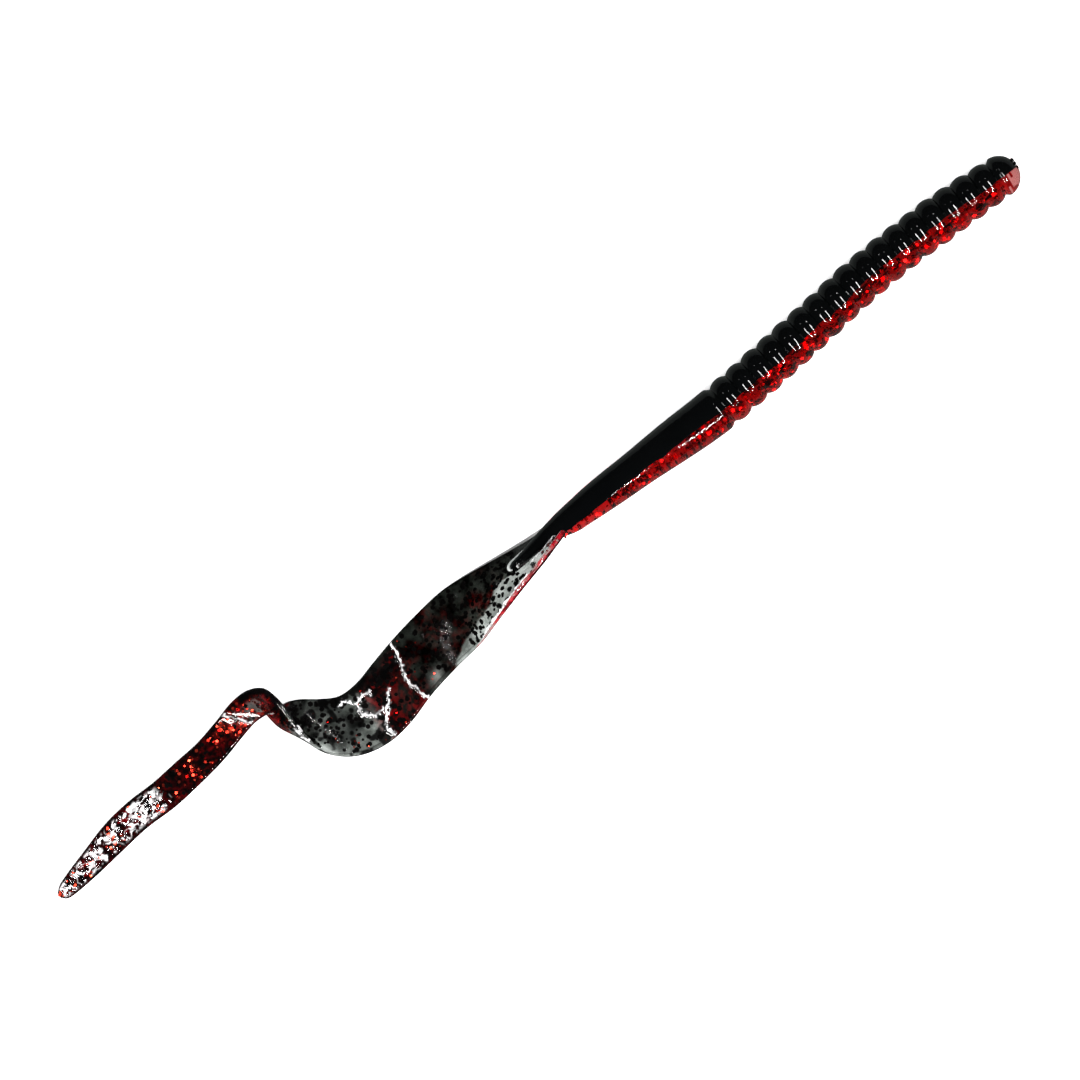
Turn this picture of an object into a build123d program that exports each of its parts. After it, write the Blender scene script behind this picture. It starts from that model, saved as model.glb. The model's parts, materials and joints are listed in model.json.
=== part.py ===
from build123d import *
import math
import os

# Ribbon-tail soft plastic worm, lying on its side on a flat surface, in millimetres.
# +Z is up, +X runs along the body towards the nose, and +Y is the side that the black back faces.
# The origin is under the middle of the whole worm, on the surface it lies on.
#
# The real worm is one bendy moulding in two colours. Here it is a chain of short stiff sections,
# with a hinge wherever two sections meet. Each body section has a black back and a red belly,
# which meet on the flat seam that runs through the body's axis.

# Ringed body
RINGS_PER_SECTION = 3
NOSE_LOBE = 5.2  # length of the smooth lobe in front of the first ring
NOSE_CREST = 4.4  # crest radius at the nose
RING_CREST = 4.85  # crest radius of the full-size rings
CREST_STEP = 0.12  # the first rings grow by this much each
GROOVE_DEPTH = 0.9
NOSE_TAPER = 0.1  # the nose dome is this much smaller than the first crest
SEAM_LEAN = 11.0  # the seam leans this far from upright, away from the black side

# Points of the body's axis at the nose, at each hinge and at the end of the shank
BODY_AXIS = [
    (120.2, -1.2, 4.85),
    (106.7, -0.2, 4.85),
    (94.3, 0.3, 4.85),
    (81.9, 0.2, 4.85),
    (69.4, -0.7, 4.85),
    (57.0, -1.5, 4.85),
    (44.6, -2.1, 4.85),
    (24.8, -1.5, 5.6),
    (5.0, -1.1, 6.2),
]
SHANK_RADII = [4.8, 3.9, 2.8]  # at the last three points of the axis
SHANK_BULGE = 0.18  # how far the shank's outline swells beyond straight lines

# Core of the tail root: the thin end of the round body, which lies on both sides of the ribbon
CORE_LENGTH = 14.0
CORE_END_RADIUS = 1.2
CORE_LEAN = 27.0  # the seam's lean here, where the ribbon's web takes its place

# Ribbon tail: its two long edges as (x, y, z), and how far its middle bows out in (x, y, z)
RIBBON_THICKNESS = 1.4
RIBBON_DETAIL = 2  # outlines for each step of the list below
RIBBON_INNER = 0.33  # the two inner points of an outline stand this share of the width in from the edges
SHORTEST_STEP = 0.1  # outlines closer than this to a section's end, in steps of the list, are left out
FLAT = (0.0, 0.0, 0.0)
RIBBON = [
    ((5.0, -0.1, 4.2), (5.0, -2.1, 8.2), FLAT),
    ((1.5, 0.7, 2.2), (1.5, -3.1, 10.2), FLAT),
    ((-3.0, 1.1, 0.8), (-3.0, -4.2, 12.6), FLAT),
    ((-9.6, 2.1, 0.9), (-9.6, -5.8, 11.9), FLAT),
    ((-16.3, 3.2, 0.8), (-16.3, -7.6, 9.0), FLAT),
    ((-22.5, 3.8, 0.7), (-22.5, -9.3, 3.5), FLAT),
    ((-29.0, 3.3, 0.7), (-29.5, -10.1, 0.9), FLAT),
    ((-35.5, 2.4, 0.7), (-36.5, -11.2, 0.7), FLAT),
    ((-42.0, 1.1, 0.7), (-43.0, -12.9, 0.7), FLAT),
    ((-47.0, 0.0, 0.7), (-48.5, -13.5, 0.7), FLAT),
    ((-51.5, 0.1, 0.7), (-53.5, -12.7, 0.9), FLAT),
    ((-55.0, 2.1, 0.7), (-57.5, -10.7, 1.5), FLAT),
    ((-57.7, 4.2, 0.7), (-60.2, -7.6, 2.8), (-0.6, 0.0, 0.0)),
    ((-59.6, 5.3, 0.7), (-61.2, -3.6, 4.6), (-1.6, 0.0, 0.0)),
    ((-60.9, 5.7, 0.7), (-61.3, 0.0, 5.9), (-2.6, 0.0, 0.0)),
    ((-62.2, 5.8, 0.7), (-61.2, 3.8, 6.7), (-2.4, 0.0, 0.0)),
    ((-63.4, 5.9, 0.7), (-61.3, 7.6, 6.6), (-1.8, 0.0, 0.0)),
    ((-64.5, 6.1, 0.7), (-62.4, 10.8, 5.3), (-0.8, 0.0, 0.0)),
    ((-66.0, 6.3, 0.7), (-65.4, 12.4, 3.4), FLAT),
    ((-68.3, 6.3, 0.7), (-69.3, 12.5, 1.8), FLAT),
    ((-72.0, 5.6, 0.7), (-74.3, 11.4, 0.7), FLAT),
    ((-77.5, 4.4, 0.7), (-79.8, 10.4, 0.7), FLAT),
    ((-84.0, 3.6, 0.7), (-85.0, 10.1, 0.7), FLAT),
    ((-91.0, 3.1, 0.7), (-91.4, 9.7, 0.7), FLAT),
    ((-98.0, 3.3, 0.7), (-97.6, 9.8, 0.7), FLAT),
    ((-105.5, 2.7, 0.7), (-104.0, 9.2, 0.7), FLAT),
    ((-112.5, 2.1, 0.7), (-111.0, 7.5, 0.7), FLAT),
    ((-118.5, 2.0, 0.7), (-118.0, 5.6, 0.7), FLAT),
    ((-120.2, 3.1, 0.7), (-120.1, 4.3, 0.7), FLAT),
]

# Each ribbon section's name and the place in RIBBON where it starts; .5 is halfway to the next.
RIBBON_SECTIONS = [
    ("tail_root_web", 0.1),
    ("ribbon_wide_1", 3.5),
    ("ribbon_wide_2", 5.5),
    ("ribbon_wide_3", 7.5),
    ("ribbon_fold", 10.0),
    ("ribbon_narrow_1", 18.0),
    ("ribbon_narrow_2", 20.6),
    ("ribbon_narrow_3", 22.7),
    ("ribbon_tip", 24.7),
]

# Clearance at the hinges
HINGE_GAP = 0.5
HINGE_NECK = 1.0  # radius of the flat at each end of a round section
RELIEF_SHARE = 0.21  # the rim of a round section's end stands back from the hinge by this share of its radius


def write(node, shape):
    export_step(shape, f"parts/{node}.step")


def toward(start, end):
    """Plane on the body's axis at end, with its x direction pointing to start."""
    along = Vector(*start) - Vector(*end)
    side = Vector(0, 0, 1).cross(along)
    return Plane(origin=end, x_dir=along, z_dir=along.cross(side)), along.length


def write_halves(name, outline, place):
    """Turns an outline through half a circle on each side of the seam: black back and red belly."""
    half = revolve(make_face(outline), axis=Axis.X, revolution_arc=180)
    write(f"{name}_back", place * Rot(X=SEAM_LEAN - 90) * half)
    write(f"{name}_belly", place * Rot(X=SEAM_LEAN + 90) * half)


def ring_arc(x_rear, x_front, rear_radius, front_radius, crest):
    middle = (x_rear + x_front) / 2
    return ThreePointArc((x_rear, rear_radius), (middle, crest), (x_front, front_radius))


def crest_radius(ring):
    return min(RING_CREST, NOSE_CREST + CREST_STEP * ring)


def groove_radius(ring):
    """Radius of the groove behind a ring."""
    return crest_radius(ring) - GROOVE_DEPTH


def relief(radius):
    """How far the rim of a round section's end stands back, so that the hinge can bend."""
    return RELIEF_SHARE * radius


def build_head():
    """Nose lobe and the first two rings; the hook goes in here."""
    place, length = toward(BODY_AXIS[0], BODY_AXIS[1])
    rings_end = length - NOSE_LOBE
    half_gap = HINGE_GAP / 2
    dome_radius = NOSE_CREST - NOSE_TAPER
    dome_x = length - dome_radius
    bevel = dome_radius * math.sqrt(0.5)
    rim = groove_radius(2)
    outline = [
        Line((length, 0), (half_gap, 0)),
        Line((half_gap, 0), (half_gap, HINGE_NECK)),
        Line((half_gap, HINGE_NECK), (relief(rim), rim)),
        ring_arc(relief(rim), rings_end / 2, rim, groove_radius(1), crest_radius(2)),
        ring_arc(rings_end / 2, rings_end, groove_radius(1), groove_radius(0), crest_radius(1)),
        Line((rings_end, groove_radius(0)), (dome_x, dome_radius)),
        ThreePointArc((dome_x, dome_radius), (dome_x + bevel, bevel), (length, 0)),
    ]
    write_halves("head", outline, place)


def build_ring_section(number):
    """Three rings, with a hinge at each end."""
    place, length = toward(BODY_AXIS[number], BODY_AXIS[number + 1])
    pitch = length / RINGS_PER_SECTION
    half_gap = HINGE_GAP / 2
    last_ring = RINGS_PER_SECTION * (number + 1) - 1
    front_rim = groove_radius(last_ring - RINGS_PER_SECTION)
    rear_rim = groove_radius(last_ring)
    outline = [
        Line((half_gap, 0), (half_gap, HINGE_NECK)),
        Line((half_gap, HINGE_NECK), (relief(rear_rim), rear_rim)),
    ]
    for step in range(RINGS_PER_SECTION):
        ring = last_ring - step
        x_rear = max(step * pitch, relief(rear_rim))
        x_front = min((step + 1) * pitch, length - relief(front_rim))
        arc = ring_arc(x_rear, x_front, groove_radius(ring), groove_radius(ring - 1), crest_radius(ring))
        outline.append(arc)
    outline.append(Line((length - relief(front_rim), front_rim), (length - half_gap, HINGE_NECK)))
    outline.append(Line((length - half_gap, HINGE_NECK), (length - half_gap, 0)))
    outline.append(Line((length - half_gap, 0), (half_gap, 0)))
    write_halves(f"rings_{number}", outline, place)


def build_shank(name, number, front_radius, rear_radius):
    """Smooth tapering stretch behind the rings."""
    place, length = toward(BODY_AXIS[number], BODY_AXIS[number + 1])
    half_gap = HINGE_GAP / 2
    middle_radius = (front_radius + rear_radius) / 2 + SHANK_BULGE
    rear_x = relief(rear_radius)
    front_x = length - relief(front_radius)
    outline = [
        Line((length - half_gap, 0), (half_gap, 0)),
        Line((half_gap, 0), (half_gap, HINGE_NECK)),
        Line((half_gap, HINGE_NECK), (rear_x, rear_radius)),
        ThreePointArc((rear_x, rear_radius), (length / 2, middle_radius), (front_x, front_radius)),
        Line((front_x, front_radius), (length - half_gap, HINGE_NECK)),
        Line((length - half_gap, HINGE_NECK), (length - half_gap, 0)),
    ]
    write_halves(name, outline, place)


def between(low, high, share):
    return Vector(*low) * (1 - share) + Vector(*high) * share


def ribbon_line(place):
    """Middle line across the ribbon at a place along it: edge, two inner points, edge."""
    index = min(int(place), len(RIBBON) - 2)
    share = place - index
    edge_a = between(RIBBON[index][0], RIBBON[index + 1][0], share)
    edge_b = between(RIBBON[index][1], RIBBON[index + 1][1], share)
    bow = between(RIBBON[index][2], RIBBON[index + 1][2], share)
    inner_a = edge_a * (1 - RIBBON_INNER) + edge_b * RIBBON_INNER + bow
    inner_b = edge_a * RIBBON_INNER + edge_b * (1 - RIBBON_INNER) + bow
    return [edge_a, inner_a, inner_b, edge_b]


def ribbon_heading(place):
    """Direction along the ribbon, towards its tip."""
    ahead = ribbon_line(min(place + 0.5, len(RIBBON) - 1))
    behind = ribbon_line(max(place - 0.5, 0))
    return (ahead[1] + ahead[2] - behind[1] - behind[2]).normalized()


def ribbon_outline(place):
    """Corners of the ribbon's cross-section: along its upper face, then back along its lower face."""
    line = ribbon_line(place)
    heading = ribbon_heading(place)
    upper = []
    lower = []
    for i in range(4):
        across = line[min(i + 1, 3)] - line[max(i - 1, 0)]
        offset = heading.cross(across).normalized() * (RIBBON_THICKNESS / 2)
        upper.append(line[i] + offset)
        lower.append(line[i] - offset)
    return upper + lower[::-1]


def ribbon_step(place, distance):
    """Place along the ribbon a given distance further on; its middle is what is measured."""
    index = min(int(place), len(RIBBON) - 2)
    start = ribbon_line(index)
    end = ribbon_line(index + 1)
    spacing = ((end[1] + end[2] - start[1] - start[2]) * 0.5).length
    return place + distance / spacing


def quad(a, b, c, d):
    """Two flat triangles between four corners, which need not lie in one plane."""
    return [Face(Wire.make_polygon([a, b, c])), Face(Wire.make_polygon([a, c, d]))]


def ribbon_solid(start, end):
    steps = [i / RIBBON_DETAIL for i in range(RIBBON_DETAIL * len(RIBBON))]
    places = [start] + [step for step in steps if start + SHORTEST_STEP < step < end - SHORTEST_STEP] + [end]
    outlines = [ribbon_outline(place) for place in places]
    corners = len(outlines[0])
    faces = []
    for rear, front in zip(outlines, outlines[1:]):
        for i in range(corners):
            j = (i + 1) % corners
            faces += quad(rear[i], rear[j], front[j], front[i])
    for cap in (outlines[0], outlines[-1]):
        for i in range(corners // 2 - 1):
            faces += quad(cap[i], cap[i + 1], cap[corners - 2 - i], cap[corners - 1 - i])
    return Solid(Shell(faces))


def build_ribbon():
    """The web at the tail root and every ribbon section, with a gap at each hinge."""
    solids = {}
    for i, (name, start) in enumerate(RIBBON_SECTIONS):
        first = i == 0
        last = i == len(RIBBON_SECTIONS) - 1
        end = len(RIBBON) - 1 if last else RIBBON_SECTIONS[i + 1][1]
        gap_start = start if first else ribbon_step(start, HINGE_GAP / 2)
        gap_end = end if last else ribbon_step(end, -HINGE_GAP / 2)
        solids[name] = ribbon_solid(gap_start, gap_end)
        write(name, solids[name])
    return solids["tail_root_web"]


def build_core(web):
    """Thin round end of the body, cut away where the ribbon's web runs through it."""
    plane, length = toward(BODY_AXIS[-2], BODY_AXIS[-1])
    half_gap = HINGE_GAP / 2
    front_radius = SHANK_RADII[-1]
    end_x = -CORE_LENGTH
    dome_x = end_x + CORE_END_RADIUS
    bevel = CORE_END_RADIUS * math.sqrt(0.5)
    outline = [
        Line((end_x, 0), (-half_gap, 0)),
        Line((-half_gap, 0), (-half_gap, HINGE_NECK)),
        Line((-half_gap, HINGE_NECK), (-relief(front_radius), front_radius)),
        Line((-relief(front_radius), front_radius), (dome_x, CORE_END_RADIUS)),
        ThreePointArc((dome_x, CORE_END_RADIUS), (dome_x - bevel, bevel), (end_x, 0)),
    ]
    half = revolve(make_face(outline), axis=Axis.X, revolution_arc=180)
    for side, turn in (("back", CORE_LEAN - 90), ("belly", CORE_LEAN + 90)):
        pieces = (plane * Rot(X=turn) * half - web).solids()
        write(f"tail_root_{side}", max(pieces, key=lambda piece: piece.volume))


def main():
    os.makedirs("parts", exist_ok=True)
    build_head()
    for number in range(1, 6):
        build_ring_section(number)
    build_shank("shank_front", 6, SHANK_RADII[0], SHANK_RADII[1])
    build_shank("shank_rear", 7, SHANK_RADII[1], SHANK_RADII[2])
    web = build_ribbon()
    build_core(web)


main()
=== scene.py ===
import bmesh
import bpy
import json
import math
import numpy as np
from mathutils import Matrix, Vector


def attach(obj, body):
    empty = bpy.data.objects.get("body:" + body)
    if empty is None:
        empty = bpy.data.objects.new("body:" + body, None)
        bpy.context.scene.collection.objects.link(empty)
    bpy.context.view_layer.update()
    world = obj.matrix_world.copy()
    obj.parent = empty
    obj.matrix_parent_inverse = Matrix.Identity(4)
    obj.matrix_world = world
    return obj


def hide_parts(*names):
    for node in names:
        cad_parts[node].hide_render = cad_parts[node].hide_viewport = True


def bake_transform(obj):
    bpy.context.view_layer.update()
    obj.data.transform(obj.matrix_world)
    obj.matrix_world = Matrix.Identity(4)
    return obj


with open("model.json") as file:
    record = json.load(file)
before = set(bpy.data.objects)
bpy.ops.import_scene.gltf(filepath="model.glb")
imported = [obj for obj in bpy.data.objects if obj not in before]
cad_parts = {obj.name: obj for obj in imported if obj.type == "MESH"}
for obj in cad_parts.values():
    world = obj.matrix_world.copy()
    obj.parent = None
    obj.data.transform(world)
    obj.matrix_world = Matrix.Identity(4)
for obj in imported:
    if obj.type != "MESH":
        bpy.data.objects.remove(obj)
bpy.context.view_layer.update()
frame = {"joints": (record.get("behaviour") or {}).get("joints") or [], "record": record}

# A two-colour ribbon-tail worm of soft plastic, lying on its side. +X runs along the body to the nose,
# +Z is up, and +Y is the side that the black back faces. Lengths are in millimetres until make_mesh.
MM = 0.001
rng = np.random.default_rng(41)

# ---------------------------------------------------------------- sizes

NOSE_CREST = 4.4
RING_CREST = 4.85
CREST_STEP = 0.12
GROOVE_DEPTH = 0.9
GROOVE_EASE = 0.93  # the grooves' sharp bottoms are eased by this much
NOSE_LOBE = 5.2
NOSE_DOME = 0.985 * NOSE_CREST  # radius of the nose's round end
NECK_LENGTH = 1.6  # the nose lobe curves in to its groove over this length
NECK_DEPTH = 0.8 * GROOVE_DEPTH
SHOULDER_LENGTH = 2.0  # and the shank to the last groove over this length
SHOULDER_DEPTH = 0.85 * GROOVE_DEPTH
RING_PITCH = 4.14
SHANK_RADII = (4.8, 3.9, 2.8)
SHANK_BULGE = 0.18
SHANK_WAIST = 0.06  # the radius is this much larger at the shank's middle hinge
CORE_LENGTH = 14.0
CORE_END_RADIUS = 1.2
BELLY_END = -3.5  # the red half runs out here, and its colour carries on along the ribbon's edge
BELLY_TAPER = 11.0  # the length over which the red half thins out
SEAM_GAP = 0.03  # the two halves stand this far apart on the flat seam, so that their faces don't meet
SEAM_LEANS = (8, 9, 10, 11, 11, 11, 12, 16, 27)  # degrees from upright, at the nose and at each hinge
AROUND = 56  # faces round the outside of each half
FLOOR_GAP = 0.02  # nothing comes closer to the floor than this

# The ribbon's stations, from the body to the tip: edge A, edge B, and how far the web bows between them
RIBBON_THICKNESS = 1.4
FLAT = (0.0, 0.0, 0.0)
RIBBON = [
    ((5.0, -0.1, 4.2), (5.0, -2.1, 8.2), FLAT),
    ((1.5, 0.7, 2.2), (1.5, -3.1, 10.2), FLAT),
    ((-3.0, 1.1, 0.8), (-3.0, -4.2, 12.6), FLAT),
    ((-9.6, 2.1, 0.9), (-9.6, -5.8, 11.9), FLAT),
    ((-16.3, 3.2, 0.8), (-16.3, -7.6, 9.0), FLAT),
    ((-22.5, 3.8, 0.7), (-22.5, -9.3, 3.5), FLAT),
    ((-29.0, 3.3, 0.7), (-29.5, -10.1, 0.9), FLAT),
    ((-35.5, 2.4, 0.7), (-36.5, -11.2, 0.7), FLAT),
    ((-42.0, 1.1, 0.7), (-43.0, -12.9, 0.7), FLAT),
    ((-47.0, 0.0, 0.7), (-48.5, -13.5, 0.7), FLAT),
    ((-51.5, 0.1, 0.7), (-53.5, -12.7, 0.9), FLAT),
    ((-55.0, 2.1, 0.7), (-57.5, -10.7, 1.5), FLAT),
    ((-57.7, 4.2, 0.7), (-60.2, -7.6, 2.8), (-0.6, 0.0, 0.0)),
    ((-59.6, 5.3, 0.7), (-61.2, -3.6, 4.6), (-1.6, 0.0, 0.0)),
    ((-60.9, 5.7, 0.7), (-61.3, 0.0, 5.9), (-2.6, 0.0, 0.0)),
    ((-62.2, 5.8, 0.7), (-61.2, 3.8, 6.7), (-2.4, 0.0, 0.0)),
    ((-63.4, 5.9, 0.7), (-61.3, 7.6, 6.6), (-1.8, 0.0, 0.0)),
    ((-64.5, 6.1, 0.7), (-62.4, 10.8, 5.3), (-0.8, 0.0, 0.0)),
    ((-66.0, 6.3, 0.7), (-65.4, 12.4, 3.4), FLAT),
    ((-68.3, 6.3, 0.7), (-69.3, 12.5, 1.8), FLAT),
    ((-72.0, 5.6, 0.7), (-74.3, 11.4, 0.7), FLAT),
    ((-77.5, 4.4, 0.7), (-79.8, 10.4, 0.7), FLAT),
    ((-84.0, 3.6, 0.7), (-85.0, 10.1, 0.7), FLAT),
    ((-91.0, 3.1, 0.7), (-91.4, 9.7, 0.7), FLAT),
    ((-98.0, 3.3, 0.7), (-97.6, 9.8, 0.7), FLAT),
    ((-105.5, 2.7, 0.7), (-104.0, 9.2, 0.7), FLAT),
    ((-112.5, 2.1, 0.7), (-111.0, 7.5, 0.7), FLAT),
    ((-118.5, 2.0, 0.7), (-118.0, 5.6, 0.7), FLAT),
    ((-120.2, 3.1, 0.7), (-120.1, 4.3, 0.7), FLAT),
]

# Where each ribbon body starts, in stations of RIBBON
RIBBON_HINGES = {
    "ribbon_wide_1": 3.5,
    "ribbon_wide_2": 5.5,
    "ribbon_wide_3": 7.5,
    "ribbon_fold": 10.0,
    "ribbon_narrow_1": 18.0,
    "ribbon_narrow_2": 20.6,
    "ribbon_narrow_3": 22.7,
    "ribbon_tip": 24.7,
}
# A bend starts and ends this far from its hinge
RIBBON_REACH = dict.fromkeys(RIBBON_HINGES, 4.0)
RIBBON_REACH.update(ribbon_narrow_1=2.8, ribbon_narrow_3=5.0, ribbon_tip=5.0)
RINGS = ["rings_1", "rings_2", "rings_3", "rings_4", "rings_5"]
BODY_CHAIN = ["head", *RINGS, "shank_front", "shank_rear", "tail_root"]

hinge_of = {joint["child"]: np.array(joint["pos_m"]) / MM for joint in frame["joints"]}
mounts = {mount["name"]: np.array(mount["pos_m"]) / MM for mount in frame["record"]["mounts"]}
axis_points = np.array([mounts["nose_hook_entry"]] + [hinge_of[body] for body in BODY_CHAIN[1:]])
hinge_x = axis_points[:, 0]
nose_x = hinge_x[0]
shank_x, shank_middle_x, core_x = hinge_x[len(RINGS) + 1 :]
core_end_x = core_x - CORE_LENGTH

# ---------------------------------------------------------------- small helpers


def unit(v):
    """Vectors of length 1 along v."""
    return v / np.maximum(np.linalg.norm(v, axis=-1, keepdims=True), 1e-9)


def rise(x, low, high):
    """0 below low, 1 above high, smooth between; high may be the smaller."""
    t = np.clip((np.asarray(x, float) - low) / (high - low), 0, 1)
    return t * t * (3 - 2 * t)


def window(x, low, high, soft):
    """1 between low and high, fading to 0 over soft on each side."""
    return rise(x, low - soft, low) * rise(x, high + soft, high)


def smooth_curve(knots, values, at):
    """Cubic curve through values at knots (rising), with the slopes of its neighbours."""
    knots = np.asarray(knots, float)
    values = np.asarray(values, float)
    slopes = np.gradient(values, knots, axis=0)
    at = np.clip(np.asarray(at, float), knots[0], knots[-1])
    i = np.clip(np.searchsorted(knots, at, side="right") - 1, 0, len(knots) - 2)
    span = knots[i + 1] - knots[i]
    t = (at - knots[i]) / span
    if values.ndim > 1:
        t, span = t[..., None], span[..., None]
    a, b = values[i], values[i + 1]
    m, n = slopes[i] * span, slopes[i + 1] * span
    return a + t * m + t * t * (3 * (b - a) - 2 * m - n) + t**3 * (2 * (a - b) + m + n)


LATTICE_SIDE = 32
LATTICE = rng.uniform(-1, 1, (LATTICE_SIDE, LATTICE_SIDE, LATTICE_SIDE))


def noise(points, size, shift=0.0):
    """Smooth noise from -1 to 1 whose lumps are about size across; each shift gives a pattern of its own."""
    p = np.asarray(points, float) / size + 7.3 + shift
    cell = np.floor(p).astype(int)
    t = p - cell
    t = t * t * (3 - 2 * t)
    total = 0.0
    for dx in (0, 1):
        for dy in (0, 1):
            for dz in (0, 1):
                share = np.abs(1 - dx - t[..., 0]) * np.abs(1 - dy - t[..., 1]) * np.abs(1 - dz - t[..., 2])
                corner = (cell + (dx, dy, dz)) % LATTICE_SIDE
                total = total + share * LATTICE[corner[..., 0], corner[..., 1], corner[..., 2]]
    return total


def tube_faces(rows, count):
    """Faces of a closed tube made of rows rings of count points each: its sides, then its two ends."""
    faces = [
        (i * count + j, i * count + (j + 1) % count, (i + 1) * count + (j + 1) % count, (i + 1) * count + j)
        for i in range(rows - 1)
        for j in range(count)
    ]
    faces.append(list(range(count)))
    faces.append([(rows - 1) * count + j for j in range(count)])
    return faces


SHARP_ANGLE = math.radians(48)


def make_mesh(name, points, faces, materials, slots=None, smooth=True, attributes=None):
    """A mesh from points in millimetres; slots gives each face's place in materials.

    attributes are values by name, one for each point. Every mesh but a single face is a closed shell.
    """
    mesh = bpy.data.meshes.new(name)
    mesh.from_pydata((np.asarray(points) * MM).tolist(), [], faces)
    for material in materials:
        mesh.materials.append(material)
    if slots is not None:
        mesh.polygons.foreach_set("material_index", np.asarray(slots, np.int32))
    for key, values in (attributes or {}).items():
        layer = mesh.attributes.new(key, "FLOAT", "POINT")
        layer.data.foreach_set("value", np.asarray(values, np.float32).ravel())
    if len(points) > 4:
        shell = bmesh.new()
        shell.from_mesh(mesh)
        bmesh.ops.recalc_face_normals(shell, faces=shell.faces)
        shell.to_mesh(mesh)
        shell.free()
    mesh.polygons.foreach_set("use_smooth", [smooth] * len(mesh.polygons))
    if smooth:
        mesh.set_sharp_from_angle(angle=SHARP_ANGLE)
    mesh.update()
    piece = bpy.data.objects.new(name, mesh)
    bpy.context.scene.collection.objects.link(piece)
    return piece


# ---------------------------------------------------------------- materials


def new_material(name):
    """A material with no nodes yet."""
    material = bpy.data.materials.new(name)
    material.use_nodes = True
    material.node_tree.nodes.clear()
    return material


def add(material, kind, **inputs):
    """Adds a shader node; inputs are values by socket name, with _ for a space."""
    node = material.node_tree.nodes.new(kind)
    for key, value in inputs.items():
        node.inputs[key.replace("_", " ")].default_value = value
    return node


def join(material, output, *sockets):
    """Links one output to each of the sockets."""
    for socket in sockets:
        material.node_tree.links.new(output, socket)


def noise_texture(material, scale, **inputs):
    """Noise texture with about this many lumps for each metre."""
    place = add(material, "ShaderNodeTexCoord")
    lumps = add(material, "ShaderNodeTexNoise", Scale=scale, **inputs)
    join(material, place.outputs["Object"], lumps.inputs["Vector"])
    return lumps.outputs["Fac"]


def grain(material, size, depth):
    """Bump whose lumps are about size mm across and depth mm deep."""
    bump = add(material, "ShaderNodeBump", Strength=1.0, Distance=depth * MM)
    join(material, noise_texture(material, 1 / (size * MM), Detail=3.0), bump.inputs["Height"])
    return bump.outputs["Normal"]


def two_shades(material, fac, dark, light):
    """Colour between dark and light."""
    ramp = add(material, "ShaderNodeValToRGB")
    ramp.color_ramp.elements[0].color = (*dark, 1)
    ramp.color_ramp.elements[1].color = (*light, 1)
    join(material, fac, ramp.inputs["Fac"])
    return ramp.outputs["Color"]


def attribute(material, key):
    """The value that make_mesh gave the mesh's points under this key."""
    node = add(material, "ShaderNodeAttribute")
    node.attribute_name = key
    return node.outputs["Fac"]


def mixed(material, share, first, second):
    """The first shader where share is 0, and the second where it is 1."""
    mix = add(material, "ShaderNodeMixShader")
    join(material, share, mix.inputs["Fac"])
    join(material, first.outputs[0], mix.inputs[1])
    join(material, second.outputs[0], mix.inputs[2])
    return mix


def finish_material(material, surface, volume=None):
    """Links the last shader, and the volume if there is one, to the material's output."""
    out = add(material, "ShaderNodeOutputMaterial")
    join(material, surface.outputs[0], out.inputs["Surface"])
    if volume is not None:
        join(material, volume.outputs["Volume"], out.inputs["Volume"])
    return material


def black_plastic():
    """Opaque black with a wet gloss; the gloss is a little uneven, as on soft plastic."""
    material = new_material("black_back")
    shader = add(material, "ShaderNodeBsdfPrincipled", IOR=1.33)
    cloud = noise_texture(material, 160.0, Detail=4.0)
    shade = two_shades(material, cloud, (0.0002, 0.0003, 0.0004), (0.0009, 0.0011, 0.0012))
    rough = add(material, "ShaderNodeMapRange", To_Min=0.02, To_Max=0.08)
    join(material, cloud, rough.inputs["Value"])
    join(material, shade, shader.inputs["Base Color"])
    join(material, rough.outputs["Result"], shader.inputs["Roughness"])
    join(material, grain(material, 1.8, 0.045), shader.inputs["Normal"])
    return finish_material(material, shader)


def black_core():
    """The black plastic where the red is moulded on to it: no gloss, because no air reaches it."""
    material = new_material("black_seam")
    shader = add(material, "ShaderNodeBsdfDiffuse", Color=(0.003, 0.0015, 0.0015, 1))
    return finish_material(material, shader)


def red_depth(material):
    """The red plastic's colour, which deepens with the way that light goes through it."""
    return add(material, "ShaderNodeVolumeAbsorption", Color=(0.80, 0.04, 0.06, 1), Density=760.0)


def red_clear(name, colour, roughness, clearness):
    """Clear red plastic: it darkens with depth, and light from the lamps goes through it."""
    material = new_material(name)
    glass = add(
        material,
        "ShaderNodeBsdfPrincipled",
        Base_Color=(*colour, 1),
        Roughness=roughness,
        IOR=1.4,
        Transmission_Weight=clearness,
    )
    join(material, grain(material, 1.5, 0.018), glass.inputs["Normal"])
    ray = add(material, "ShaderNodeLightPath")
    through = add(material, "ShaderNodeBsdfTransparent")
    surface = mixed(material, ray.outputs["Is Shadow Ray"], glass, through)
    return finish_material(material, surface, red_depth(material))


def inner_face(name, red):
    """A face inside the plastic, where two pieces meet: nothing is seen of it."""
    material = new_material(name)
    through = add(material, "ShaderNodeBsdfTransparent")
    return finish_material(material, through, red_depth(material) if red else None)


def maths(material, kind, first, second, clamp=False):
    """A Math node; first and second are outputs or numbers."""
    node = add(material, "ShaderNodeMath")
    node.operation = kind
    node.use_clamp = clamp
    for socket, value in zip(node.inputs, (first, second)):
        if isinstance(value, float):
            socket.default_value = value
        else:
            join(material, value, socket)
    return node.outputs["Value"]


def blend(material, share, first, second):
    """Colour between first and second, which are outputs or (red, green, blue)."""
    node = add(material, "ShaderNodeMix")
    node.data_type = "RGBA"
    join(material, share, node.inputs["Factor"])
    colours = [socket for socket in node.inputs if socket.type == "RGBA"]
    for socket, value in zip(colours, (first, second)):
        if isinstance(value, tuple):
            socket.default_value = (*value, 1)
        else:
            join(material, value, socket)
    return next(socket for socket in node.outputs if socket.type == "RGBA")


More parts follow.
